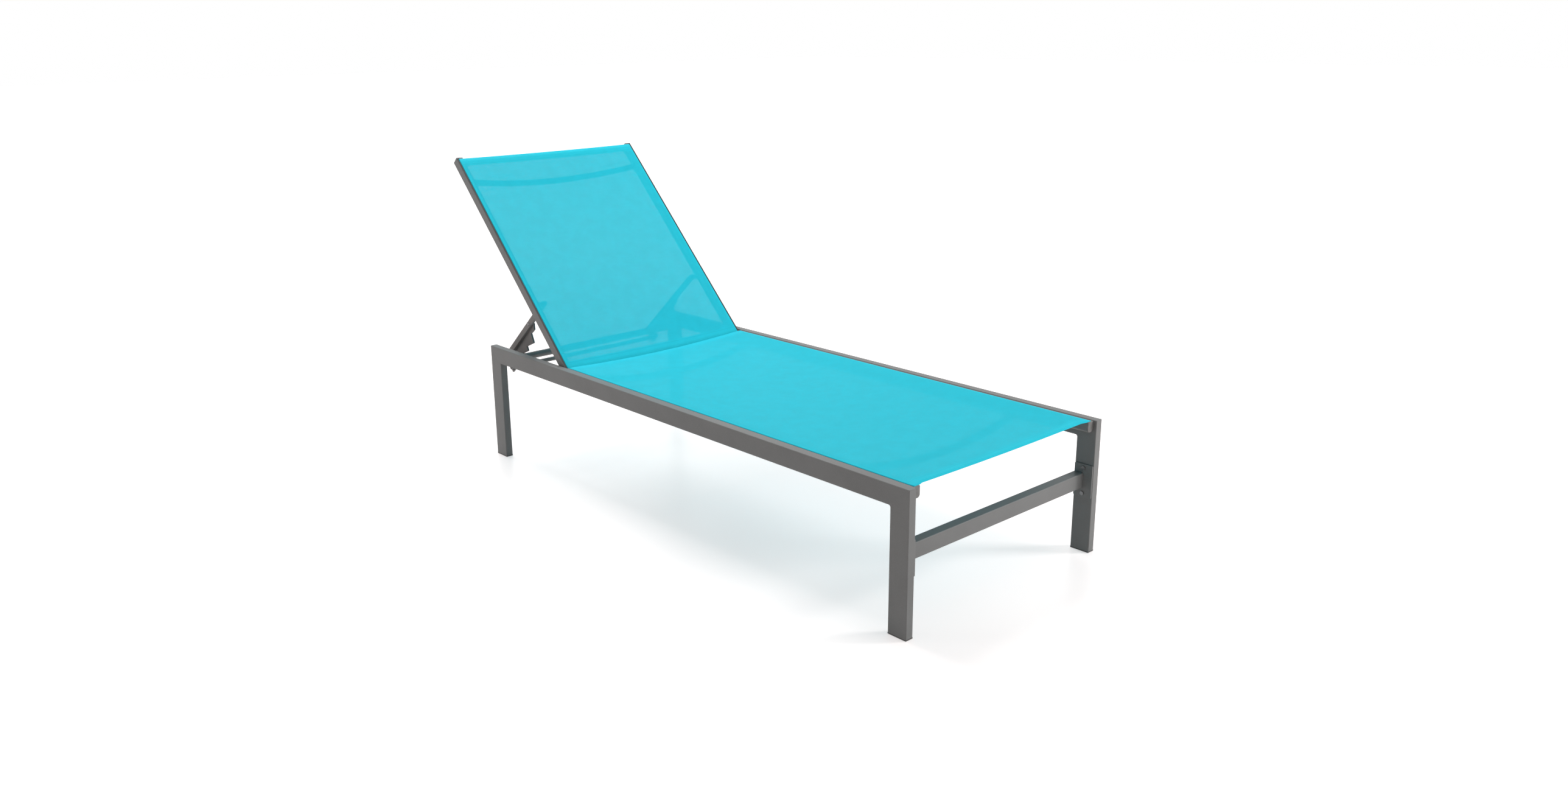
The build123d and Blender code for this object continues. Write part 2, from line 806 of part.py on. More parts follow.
# Bolts that hold the seat rails on the side rails
seat_rail_bolts = []
for side_name, side in SIDES:
    for along, above in rail_bolt_places:
        seat = facing_outward(side, side * seat_inner_x, along, above, base_frame)
        seat_rail_bolts.append(cap_screw(seat, rail_bolt_diameter, rail_bolt_length))
finish_group("seat_rail_bolts", seat_rail_bolts)


# Prop pivots: a bush between each back rail and prop arm, on a bolt

prop_half_depth = prop_arm_depth / 2
prop_arm_inner_x = prop_arm_outer_x - prop_arm_thickness
pivot_centre = (prop_pivot_from_hinge, pivot_above)
pivot_nut_inner_x = back_inner_x + sling_rail_wall
pivot_nut_length = pivot_bolt_diameter * nut_height_share
pivot_head_x = prop_arm_inner_x - bush_end_clearance
pivot_bolts = []
pivot_bushes = []
pivot_nuts = []
for side_name, side in SIDES:
    seat = facing_outward(side, side * pivot_head_x, prop_pivot_from_hinge, pivot_above, back_frame)
    bolt_length = pivot_nut_inner_x + pivot_nut_length - pivot_head_x
    pivot_bolts.append(pivot_bolt(seat, pivot_bolt_diameter, bolt_length))
    pivot_bushes.append(ring(
        back_frame,
        side,
        prop_arm_outer_x + bush_end_clearance,
        pivot_centre,
        pivot_bolt_diameter + bolt_seat_clearance * 2,
        bush_diameter,
        back_inner_x - prop_arm_outer_x - bush_end_clearance,
    ))
    pivot_nuts.append(hex_nut(
        back_frame, side, pivot_nut_inner_x, pivot_centre, pivot_bolt_diameter, pivot_nut_length
    ))
finish_group("prop_pivot_bolts", pivot_bolts)
finish_group("prop_pivot_bushes", pivot_bushes)
finish_group("prop_pivot_nuts", pivot_nuts)


# Ratchet teeth: the tube nests against the long flank above it and the wall below it

catch_local = prop_frame.to_local_coords(Vector(0, catch_y, catch_z))
wall_angle = math.radians(tooth_wall_angle)
wall_run = tooth_height / math.tan(wall_angle)
flank_angle = math.atan2(tooth_height, tooth_pitch - wall_run)
nest = catch_radius + catch_clearance
nest_spread = math.sin(flank_angle + wall_angle)
seat_root_along = catch_local.Y + nest * (math.cos(flank_angle) - math.cos(wall_angle)) / nest_spread
seat_root_above = catch_local.Z + nest * (math.sin(flank_angle) + math.sin(wall_angle)) / nest_spread
tip_above = seat_root_above - tooth_height
recess_above = -prop_half_depth - first_recess_depth
first_root_along = seat_root_along - tooth_pitch * teeth_above_seat
recess_along = first_root_along - (recess_above - seat_root_above) / math.tan(wall_angle)
bump_end = recess_along - bump_to_recess
bump_start = bump_end - bump_length
plate_start = bump_start - bump_rise_length
bump_above = -prop_half_depth - bump_depth
plate_top = prop_half_depth - plate_edge_from_arm
rivet_first = bump_start
rivet_step = (prop_arm_length - rivet_end_distance - rivet_first) / (rivet_count - 1)
rivet_places = [(rivet_first + rivet_step * index, 0) for index in range(rivet_count)]
tie_rod_place = (prop_arm_length - tie_rod_end_distance, -prop_half_depth - tie_rod_from_arm_edge)
rivet_bore = rivet_diameter + bolt_seat_clearance * 2

plate_outline = [
    (plate_start, plate_top),
    (plate_start, -prop_half_depth),
    (bump_start, bump_above),
    (bump_end, bump_above),
    (recess_along, recess_above),
]
for tooth in range(teeth_above_seat + teeth_below_seat + 1):
    root_along = first_root_along + tooth_pitch * tooth
    if tooth > 0:
        plate_outline.append((root_along, seat_root_above))
    plate_outline.append((root_along + wall_run, tip_above))
plate_outline += [(prop_arm_length, tip_above), (prop_arm_length, plate_top)]

for side_name, side in SIDES:
    arm_start = span_start(side, prop_arm_inner_x, prop_arm_outer_x)
    with BuildPart() as prop_arm:
        with BuildSketch(side_plane(prop_frame, arm_start)):
            Rectangle(prop_arm_length, prop_arm_depth, align=(Align.MIN, Align.CENTER))
            fillet(vertices().group_by(Axis.X)[-1], radius=arm_end_radius)
            Circle(prop_half_depth)
            Circle(pivot_bolt_diameter / 2 + hinge_running_clearance, mode=Mode.SUBTRACT)
            with Locations(*rivet_places):
                small_round(rivet_bore, mode=Mode.SUBTRACT)
        extrude(amount=prop_arm_thickness)
    finish(f"prop_arm_{side_name}", prop_arm.part)

    plate_inner_x = prop_arm_inner_x - plate_thickness
    with BuildPart() as ratchet_plate:
        with BuildSketch(side_plane(prop_frame, span_start(side, plate_inner_x, prop_arm_inner_x))):
            Polygon(*plate_outline, align=None)
            outline_corners = vertices()
            tips = outline_corners.filter_by(lambda corner: abs(corner.Y - tip_above) < bolt_seat_clearance)
            fillet(tips, radius=tooth_tip_radius)
            with Locations(tie_rod_place):
                Circle(tie_stud_diameter / 2 + bolt_seat_clearance, mode=Mode.SUBTRACT)
            with Locations(*rivet_places):
                small_round(rivet_bore, mode=Mode.SUBTRACT)
        extrude(amount=plate_thickness)
    finish(f"ratchet_plate_{side_name}", ratchet_plate.part)


# Rivets through plate and arm

def rivet(side, along):
    """Solid rivet with a domed head on each side."""
    inner_x = prop_arm_inner_x - plate_thickness
    shank = prop_arm_outer_x - inner_x
    heads = (
        facing_outward(side, side * prop_arm_outer_x, along, 0, prop_frame),
        facing_outward(-side, side * inner_x, along, 0, prop_frame),
    )
    with BuildPart() as body:
        with BuildSketch(heads[0]):
            small_round(rivet_diameter)
        extrude(amount=-shank)
        for head in heads:
            with BuildSketch(head):
                small_round(rivet_head_diameter)
            extrude(amount=rivet_head_height, taper=rivet_head_taper)
    return body.part


finish_group(
    "plate_rivets",
    [rivet(side, along) for side_name, side in SIDES for along, above in rivet_places],
)


# Tie rod with threaded ends, and its nuts

tie_shoulder_x = prop_arm_inner_x - plate_thickness
tie_nut_length = tie_stud_diameter * nut_height_share
tie_end_x = prop_arm_inner_x + tie_nut_length + tie_nut_protrusion
with BuildPart() as tie_rod:
    with BuildSketch(side_plane(prop_frame, -tie_shoulder_x)):
        with Locations(tie_rod_place):
            Circle(tie_rod_diameter / 2)
    extrude(amount=tie_shoulder_x * 2)
    with BuildSketch(side_plane(prop_frame, -tie_end_x)):
        with Locations(tie_rod_place):
            Circle(tie_stud_diameter / 2)
    extrude(amount=tie_end_x * 2)
finish("tie_rod", tie_rod.part)
finish_group(
    "tie_rod_nuts",
    [
        hex_nut(prop_frame, side, prop_arm_inner_x, tie_rod_place, tie_stud_diameter, tie_nut_length)
        for side_name, side in SIDES
    ],
)
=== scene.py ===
import json
import math

import bmesh
import bpy
from mathutils import Matrix, Vector


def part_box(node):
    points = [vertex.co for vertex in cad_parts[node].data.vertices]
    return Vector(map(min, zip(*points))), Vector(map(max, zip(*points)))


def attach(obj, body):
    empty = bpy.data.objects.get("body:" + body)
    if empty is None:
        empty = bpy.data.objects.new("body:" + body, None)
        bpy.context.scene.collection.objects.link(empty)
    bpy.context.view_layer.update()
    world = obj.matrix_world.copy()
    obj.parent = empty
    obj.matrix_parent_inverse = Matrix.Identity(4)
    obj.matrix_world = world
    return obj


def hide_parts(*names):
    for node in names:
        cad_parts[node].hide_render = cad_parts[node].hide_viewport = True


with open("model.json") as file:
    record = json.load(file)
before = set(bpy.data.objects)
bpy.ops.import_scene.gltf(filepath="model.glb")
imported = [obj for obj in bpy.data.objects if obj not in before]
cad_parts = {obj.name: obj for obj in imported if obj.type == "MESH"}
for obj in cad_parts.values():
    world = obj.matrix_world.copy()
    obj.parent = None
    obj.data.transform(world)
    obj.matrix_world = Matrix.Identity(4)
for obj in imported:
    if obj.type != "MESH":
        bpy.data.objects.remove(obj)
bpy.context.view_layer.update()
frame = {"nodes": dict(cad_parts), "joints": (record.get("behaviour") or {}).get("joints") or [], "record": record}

MM = 0.001

# Slings: the sleeves that lie in the rails' slots
SLEEVE_DROP = 3.2 * MM
SLEEVE_BEND = 1.4 * MM
SLOT_FROM_OUTER_FACE = 6 * MM

# Slings: the sheet, its folded hems and its sag
SHEET_THICKNESS = 0.8 * MM
HEM_DEPTH = 24 * MM
HEM_EDGE = 2 * MM
HEM_END = HEM_DEPTH + HEM_EDGE
HEM_GAP = 1.3 * MM
HEM_BEND = 0.6 * MM
FREE_HEM_SETBACK = 5 * MM
SETBACK_EASE = 2.4 * MM
DOUBLE_LAYER_WIDTH = 6 * MM
SEAT_SAG = 9 * MM
BACK_SAG = 8 * MM
TAUT_LENGTH = 220 * MM
TAUT_SAG_SHARE = 0.3

# Slings: how finely they are divided
SLEEVE_STEPS = 4
RAIL_STEPS = 4
CROSS_STEPS = 36
LENGTH_STEP = 14 * MM

# Slings: the weave and the stitches
YARN_PITCH = 1.5 * MM
YARN_HEIGHT = 0.65
YARN_SWING = 0.35
YARN_STEEPNESS = 2.5
SLUB_STRETCH = (1, 14, 1)
FACE_GAP = 0.5
BACK_LINING_COVER = 0.76
SEAT_LINING_COVER = 0.93
STITCH_FROM_HEM = 21 * MM
STITCH_PITCH = 3.6 * MM
STITCH_WIDTH = 0.55 * MM
STITCH_WAVE_START = -0.4
STITCH_HEIGHT = 0.6
STITCH_COVER = 0.7
STITCH_SHADE = 0.7

# Dark strips on the back rails
DARK_STRIP_FROM_OUTER_FACE = 1.2 * MM
DARK_STRIP_FROM_SLOT = 0.9 * MM
DARK_STRIP_HEIGHT = 1.2 * MM
DARK_STRIP_START = 4 * MM
DARK_STRIP_END_SETBACK = 1 * MM
DARK_STRIP_STEPS = 8

# Finish of hard pieces: how round the edges are, how pale they are, partly from wear and partly from a painted
# highlight, and the streaks of the steel
COAT_EDGE_RADIUS = 0.8 * MM
LIP_EDGE_RADIUS = 1.6 * MM
BAR_ROUNDING = 3 * MM
PLASTIC_EDGE_RADIUS = 0.5 * MM
STEEL_EDGE_RADIUS = 0.5 * MM
BEVEL_SAMPLES = 6
COAT_EDGE_WEAR_AND_HIGHLIGHT_TONE = 1.5
# The back rails' edges are paler still: a painted highlight along their edges
LIP_PAINTED_HIGHLIGHT_TONE = 2.2
STEEL_STREAK_STRETCH = (1, 6, 6)

# Colours
WHITE = (1, 1, 1, 1)
GREY_COLOUR = (0.19, 0.193, 0.191)
DARK_COLOUR = (0.19, 0.18, 0.174)
GREY_PLASTIC_COLOUR = (0.17, 0.168, 0.163)
DARK_PLASTIC_COLOUR = (0.075, 0.074, 0.072)
SPLINE_COLOUR = (0.05, 0.05, 0.05)
STEEL_COLOUR = (0.17, 0.17, 0.172)
FABRIC_COLOUR = (0.021, 0.7, 0.875)
# The seat's underside is the same fabric in a darker copy: painted shade
SEAT_UNDERSIDE_PAINTED_SHADE_COLOUR = (0.03, 0.5, 0.62)
# The floor's warm tint is painted to cancel the cyan light that the slings bounce into its shadow
FLOOR_COLOUR = (0.94, 0.87, 0.855, 1)
FLOOR_CLOUD_COLOUR = (0.96, 0.89, 0.875, 1)


# Frames: the base's, which is the row's own, and the back's, from its hinge and its lean at rest

hinge_joint = next(joint for joint in frame["joints"] if joint["name"] == "back_hinge")
HINGE = Vector(hinge_joint["pos_m"])
LEAN = math.radians(-min(hinge_joint["range_deg"]))
BACK_TURN = Matrix.Translation(HINGE) @ Matrix.Rotation(LEAN, 4, "X")
BASE_TURN = Matrix.Identity(4)


def local_box(node, to_local):
    """Lowest and highest corner of a CAD node in another frame."""
    points = [to_local @ vertex.co for vertex in frame["nodes"][node].data.vertices]
    low = Vector([min(point[axis] for point in points) for axis in range(3)])
    high = Vector([max(point[axis] for point in points) for axis in range(3)])
    return low, high


def new_object(name, data):
    """An object in the scene that shows a mesh, a light or a camera."""
    piece = bpy.data.objects.new(name, data)
    bpy.context.collection.objects.link(piece)
    return piece


# Node helpers

# Where a Mix node has its sockets for colours
MIX_SHARE = 0
MIX_FIRST = 6
MIX_SECOND = 7
MIX_RESULT = 2


class Nodes:
    """A node tree whose nodes are added one by one."""

    def __init__(self, tree):
        self.tree = tree

    def add(self, kind):
        return self.tree.nodes.new(kind)

    def link(self, source, target):
        self.tree.links.new(source, target)

    def put(self, socket, value):
        """Link a node's output, or set a plain value."""
        if isinstance(value, bpy.types.NodeSocket):
            self.link(value, socket)
        else:
            socket.default_value = value

    def math(self, operation, first, second=0.0, third=0.0):
        node = self.add("ShaderNodeMath")
        node.operation = operation
        for socket, value in zip(node.inputs, (first, second, third)):
            self.put(socket, value)
        return node.outputs[0]

    def background_ray(self):
        """One for rays that show the surroundings: camera, glossy and transmission rays."""
        path = self.add("ShaderNodeLightPath")
        seen = self.math("MAXIMUM", path.outputs["Is Camera Ray"], path.outputs["Is Glossy Ray"])
        return self.math("MAXIMUM", seen, path.outputs["Is Transmission Ray"])


class Shader(Nodes):
    """A material with one Principled shader."""

    def __init__(self, name):
        self.material = bpy.data.materials.new(name)
        self.material.use_nodes = True
        super().__init__(self.material.node_tree)
        self.tree.nodes.clear()
        output = self.add("ShaderNodeOutputMaterial")
        self.surface = self.add("ShaderNodeBsdfPrincipled")
        self.link(self.surface.outputs["BSDF"], output.inputs["Surface"])

    def set(self, **values):
        """Give the Principled shader's sockets, named with _ for a space."""
        for name, value in values.items():
            self.put(self.surface.inputs[name.replace("_", " ")], value)

    def place(self):
        return self.add("ShaderNodeTexCoord").outputs["Object"]

    def stretched(self, place, stretch):
        node = self.add("ShaderNodeMapping")
        self.link(place, node.inputs["Vector"])
        node.inputs["Scale"].default_value = stretch
        return node.outputs["Vector"]

    def length(self, vector):
        node = self.add("ShaderNodeVectorMath")
        node.operation = "LENGTH"
        self.link(vector, node.inputs[0])
        return node.outputs["Value"]

    def attribute(self, name):
        """A value that the mesh holds for each of its points."""
        node = self.add("ShaderNodeAttribute")
        node.attribute_name = name
        return node.outputs["Fac"]

    def noise(self, place, scale, detail=3.0, roughness=0.55):
        node = self.add("ShaderNodeTexNoise")
        self.link(place, node.inputs["Vector"])
        node.inputs["Scale"].default_value = scale
        node.inputs["Detail"].default_value = detail
        node.inputs["Roughness"].default_value = roughness
        return node.outputs["Fac"]

    def ramp(self, value, start, end, before, after):
        """Goes smoothly from one number to another while the value goes from start to end."""
        node = self.add("ShaderNodeMapRange")
        node.interpolation_type = "SMOOTHSTEP"
        for socket, given in zip(node.inputs, (value, start, end, before, after)):
            self.put(socket, given)
        return node.outputs[0]

    def mix(self, share, first, second):
        node = self.add("ShaderNodeMix")
        node.data_type = "RGBA"
        self.put(node.inputs[MIX_SHARE], share)
        self.put(node.inputs[MIX_FIRST], first)
        self.put(node.inputs[MIX_SECOND], second)
        return node.outputs[MIX_RESULT]

    def tint(self, tone, other, pattern, start, end, before=0, after=1):
        """The tone, with a share of another one that follows a pattern."""
        return self.mix(self.ramp(pattern, start, end, before, after), tone, other)

    def rounded(self, radius):
        """Normal of the surface with its edges rounded."""
        bevel = self.add("ShaderNodeBevel")
        bevel.samples = BEVEL_SAMPLES
        bevel.inputs["Radius"].default_value = radius
        return bevel.outputs["Normal"]

    def edge(self, rounded_normal):
        """How near an edge the surface is: how far its rounded normal leans over."""
        flat = self.add("ShaderNodeNewGeometry").outputs["Normal"]
        facing = self.add("ShaderNodeVectorMath")
        facing.operation = "DOT_PRODUCT"
        self.link(rounded_normal, facing.inputs[0])
        self.link(flat, facing.inputs[1])
        return self.math("SUBTRACT", 1.0, facing.outputs["Value"])

    def bump(self, height, strength, distance, normal=None):
        node = self.add("ShaderNodeBump")
        self.link(height, node.inputs["Height"])
        node.inputs["Strength"].default_value = strength
        node.inputs["Distance"].default_value = distance
        if normal:
            self.link(normal, node.inputs["Normal"])
        self.link(node.outputs["Normal"], self.surface.inputs["Normal"])


def shade(colour, share):
    """A colour made darker or lighter."""
    return (*(part * share for part in colour), 1)


# Materials

def powder_coat(name, colour, edge_radius, edge_wear_and_highlight_tone=COAT_EDGE_WEAR_AND_HIGHLIGHT_TONE):
    """Satin powder coat: fine orange peel, faint clouds, and paler edges, partly worn and partly a painted
    highlight.
    """
    shader = Shader(name)
    place = shader.place()
    clouds = shader.noise(place, scale=9)
    grain = shader.noise(place, scale=620, detail=2)
    peel = shader.noise(place, scale=1500, detail=2)
    tone = shader.tint(shade(colour, 0.95), shade(colour, 1.05), clouds, start=0.3, end=0.7)
    tone = shader.tint(tone, shade(colour, 1.22), grain, start=0.4, end=0.75, after=0.5)
    normal = shader.rounded(edge_radius)
    # Paler edges: partly wear in patches, partly a painted highlight where rounded edges catch the light
    edge_wear_and_highlight = shader.ramp(shader.edge(normal), start=0.01, end=0.12, before=0, after=0.6)
    patches = shader.ramp(clouds, start=0.35, end=0.6, before=0.4, after=1)
    wear_and_highlight = shader.math("MULTIPLY", edge_wear_and_highlight, patches)
    shader.set(
        Base_Color=shader.mix(wear_and_highlight, tone, shade(colour, edge_wear_and_highlight_tone)),
        Roughness=shader.ramp(grain, start=0.3, end=0.7, before=0.42, after=0.56),
        Metallic=0.0,
        Specular_IOR_Level=0.3,
        Coat_Weight=0.04,
        Coat_Roughness=0.3,
    )
    shader.bump(peel, strength=0.12, distance=0.4 * MM, normal=normal)
    return shader.material


def moulded_plastic(name, colour):
    """Matte moulded plastic with a fine texture."""
    shader = Shader(name)
    place = shader.place()
    clouds = shader.noise(place, scale=60)
    grain = shader.noise(place, scale=1800, detail=2)
    shader.set(
        Base_Color=shader.tint(
            shade(colour, 0.85), shade(colour, 1.2), clouds, start=0.3, end=0.7
        ),
        Roughness=shader.ramp(grain, start=0.3, end=0.7, before=0.5, after=0.7),
    )
    normal = shader.rounded(PLASTIC_EDGE_RADIUS)
    shader.bump(grain, strength=0.2, distance=0.2 * MM, normal=normal)
    return shader.material


def zinc_steel(name, colour):
    """Turned and plated steel of the fasteners."""
    shader = Shader(name)
    place = shader.stretched(shader.place(), STEEL_STREAK_STRETCH)
    streaks = shader.noise(place, scale=300, detail=4)
    shader.set(
        Base_Color=shader.tint(
            shade(colour, 0.8), shade(colour, 1.15), streaks, start=0.3, end=0.7
        ),
        Roughness=shader.ramp(streaks, start=0.3, end=0.7, before=0.28, after=0.45),
        Metallic=1.0,
    )
    normal = shader.rounded(STEEL_EDGE_RADIUS)
    shader.bump(streaks, strength=0.08, distance=0.2 * MM, normal=normal)
    return shader.material


def yarns(shader, across_sheet, along_sheet):
    """Warp and weft of a plain weave, and the height of whichever yarn lies on top."""
    angle_per_metre = math.pi / YARN_PITCH
    across = shader.math("SINE", shader.math("MULTIPLY", across_sheet, angle_per_metre))
    along = shader.math("SINE", shader.math("MULTIPLY", along_sheet, angle_per_metre))
    warp = shader.math("ABSOLUTE", across)
    weft = shader.math("ABSOLUTE", along)
    crossing = shader.math("MULTIPLY", across, along)
    over = shader.math("MULTIPLY", crossing, YARN_STEEPNESS)
    over = shader.math("MINIMUM", shader.math("MAXIMUM", over, -1.0), 1.0)
    warp_rise = shader.math("MULTIPLY_ADD", over, YARN_SWING, YARN_HEIGHT)
    weft_rise = shader.math("MULTIPLY_ADD", over, -YARN_SWING, YARN_HEIGHT)
    warp_height = shader.math("MULTIPLY", warp, warp_rise)
    weft_height = shader.math("MULTIPLY", weft, weft_rise)
    return warp, weft, shader.math("MAXIMUM", warp_height, weft_height)


def stitches(shader, across_sheet):
    """The strip along each folded hem that a row of stitches takes, its wave, and the thread."""
    from_row = shader.math("SUBTRACT", shader.attribute("from_hem"), STITCH_FROM_HEM)
    row = shader.math("LESS_THAN", shader.math("ABSOLUTE", from_row), STITCH_WIDTH)
    wave = shader.math("MULTIPLY", across_sheet, 2 * math.pi / STITCH_PITCH)
    wave = shader.math("SINE", wave)
    shows = shader.math("GREATER_THAN", wave, STITCH_WAVE_START)
    return row, wave, shader.math("MULTIPLY", row, shows)


def sling_fabric(name, colour, lining_cover=None):
    """Plain weave of coated yarns with stitched hems.

    The face has open gaps between its yarns. A lining is evenly open, by lining_cover.
    """
    shader = Shader(name)
    uv = shader.add("ShaderNodeUVMap").outputs["UV"]
    split = shader.add("ShaderNodeSeparateXYZ")
    shader.link(uv, split.inputs[0])
    across_sheet, along_sheet = split.outputs[0], split.outputs[1]
    warp, weft, height = yarns(shader, across_sheet, along_sheet)
    clouds = shader.noise(uv, scale=26, detail=4, roughness=0.6)
    fibres = shader.noise(uv, scale=420, detail=2)
    slubs = shader.noise(shader.stretched(uv, SLUB_STRETCH), scale=40, detail=3)
    tone = shader.tint(shade(colour, 0.96), shade(colour, 1.03), clouds, start=0.3, end=0.7)
    tone = shader.tint(tone, shade(colour, 0.95), slubs, start=0.35, end=0.7, after=0.6)
    tone = shader.tint(tone, shade(colour, 0.86), fibres, start=0.45, end=0.75, after=0.5)
    # Painted shade: the weave is darker in the low valleys between its yarns
    tone = shader.tint(tone, shade(colour, 0.6), height, start=0.1, end=0.6, before=0.3, after=0)
    row, wave, thread = stitches(shader, across_sheet)
    thread_cover = shader.math("MULTIPLY", thread, STITCH_COVER)
    tone = shader.mix(thread_cover, tone, shade(colour, STITCH_SHADE))
    thread_height = shader.math("MULTIPLY", wave, STITCH_HEIGHT)
    height = shader.math("ADD", height, shader.math("MULTIPLY", row, thread_height))
    double = shader.attribute("double_layer")
    if lining_cover is None:
        closed = shader.math("MAXIMUM", warp, weft)
        open_below = shader.math("MULTIPLY_ADD", double, -FACE_GAP, FACE_GAP)
        alpha = shader.math("GREATER_THAN", closed, open_below)
    else:
        alpha = shader.math("MULTIPLY_ADD", double, 1 - lining_cover, lining_cover)
    shader.set(
        Base_Color=tone,
        Roughness=0.65,
        Alpha=alpha,
        Sheen_Weight=0.02,
        Sheen_Roughness=0.5,
        Specular_IOR_Level=0.1,
    )
    shader.bump(height, strength=0.5, distance=0.4 * MM)
    return shader.material


GREY_COAT = powder_coat("grey_powder_coat", GREY_COLOUR, COAT_EDGE_RADIUS)
# The back rails' coat paints a bright highlight on their edges
LIP_PAINTED_HIGHLIGHT_COAT = powder_coat("back_rail_coat_painted_highlight", GREY_COLOUR, LIP_EDGE_RADIUS, LIP_PAINTED_HIGHLIGHT_TONE)
DARK_COAT = powder_coat("dark_powder_coat", DARK_COLOUR, COAT_EDGE_RADIUS)
BAR_COAT = powder_coat("bowed_bar_coat", DARK_COLOUR, BAR_ROUNDING)
GREY_PLASTIC = moulded_plastic("grey_cap_plastic", GREY_PLASTIC_COLOUR)
DARK_PLASTIC = moulded_plastic("dark_cap_plastic", DARK_PLASTIC_COLOUR)
SPLINE_PLASTIC = moulded_plastic("spline_plastic", SPLINE_COLOUR)
STEEL = zinc_steel("dark_plated_steel", STEEL_COLOUR)
FABRIC = sling_fabric("sling_weave", FABRIC_COLOUR)
BACK_LINING = sling_fabric("back_sling_underside", FABRIC_COLOUR, BACK_LINING_COVER)
# The seat's underside is painted darker, as shade
SEAT_LINING_PAINTED_SHADE = sling_fabric("seat_sling_underside_painted_shade", SEAT_UNDERSIDE_PAINTED_SHADE_COLOUR, SEAT_LINING_COVER)

SLOT_MATERIALS = {
    "grey_coat": GREY_COAT,
    "dark_coat": DARK_COAT,
    "grey_plastic": GREY_PLASTIC,
    "dark_plastic": DARK_PLASTIC,
    "spline_plastic": SPLINE_PLASTIC,
    "steel_fasteners": STEEL,
    "sling_fabric": FABRIC,
}

# Nodes whose edges look different from those of their slot's other nodes: the bowed bars' edges are rounder, and
# the back rails' carry a stronger painted highlight
NODE_MATERIALS = {
    "seat_brace_front": BAR_COAT,
    "seat_brace_rear": BAR_COAT,
    "back_brace": BAR_COAT,
    "back_rail_left": LIP_PAINTED_HIGHLIGHT_COAT,
    "back_rail_right": LIP_PAINTED_HIGHLIGHT_COAT,
}

for subpart in frame["record"]["subparts"]:
    mesh = frame["nodes"][subpart["node"]].data
    mesh.materials.clear()
    by_slot = SLOT_MATERIALS[subpart["material_slot"]]
    mesh.materials.append(NODE_MATERIALS.get(subpart["node"], by_slot))


# Slings

def sling_profile(rail_outer, rail_inner, top):
    """Points across the sling, and how far each can sag.

    They go out of one slot, over both rails and into the other slot.
    """
    middle = top - SHEET_THICKNESS
    slot = rail_outer - SLOT_FROM_OUTER_FACE
    half = [Vector((slot, 0, middle - SLEEVE_DROP)), Vector((slot, 0, middle - SLEEVE_BEND))]
    for step in range(1, SLEEVE_STEPS + 1):
        turn = math.radians(90) * step / SLEEVE_STEPS
        half.append(Vector((
            slot - SLEEVE_BEND * (1 - math.cos(turn)),
            0,
            middle - SLEEVE_BEND * (1 - math.sin(turn)),
        )))
    bend_end = slot - SLEEVE_BEND
    for step in range(1, RAIL_STEPS + 1):
        half.append(Vector((bend_end + (rail_inner - bend_end) * step / RAIL_STEPS, 0, middle)))
    span = []
    sag_shares = [0.0] * len(half)
    for step in range(1, CROSS_STEPS):
        share = 1 - 2 * step / CROSS_STEPS
        span.append(Vector((rail_inner * share, 0, middle)))
        sag_shares.append(1 - share * share)
    mirrored = [Vector((-point.x, 0, point.z)) for point in reversed(half)]
    return half + span + mirrored, sag_shares + [0.0] * len(half)


def sling_rows(length):
    """Places along the sling as (distance from its start, drop, double layer).

    A hem is folded under at each end.
    """
    fold = [
        (HEM_DEPTH, HEM_GAP, 1),
        (HEM_DEPTH / 2, HEM_GAP, 1),
        (HEM_BEND, HEM_GAP, 1),
        (0, HEM_GAP / 2, 1),
    ]
    above = [(HEM_BEND, 0, 1), (HEM_DEPTH / 2, 0, 1), (HEM_DEPTH, 0, 1), (HEM_END, 0, 0)]
    hem = fold + above
    rows = list(hem)
    free_length = length - HEM_END * 2
    steps = round(free_length / LENGTH_STEP)
    for step in range(1, steps):
        rows.append((HEM_END + free_length * step / steps, 0, 0))
    rows += [(length - along, drop, double) for along, drop, double in reversed(hem)]
    return rows


def grid_faces(row_count, column_count):
    """Faces between the points of a grid that is listed row by row."""
    faces = []
    for row in range(row_count - 1):
        for column in range(column_count - 1):
            corner = row * column_count + column
            above = corner + column_count
            faces.append((corner, above, above + 1, corner + 1))
    return faces


def add_values(mesh, name, values):
    """Give each point of the mesh a value that its material reads."""
    attribute = mesh.attributes.new(name, "FLOAT", "POINT")
    attribute.data.foreach_set("value", values)


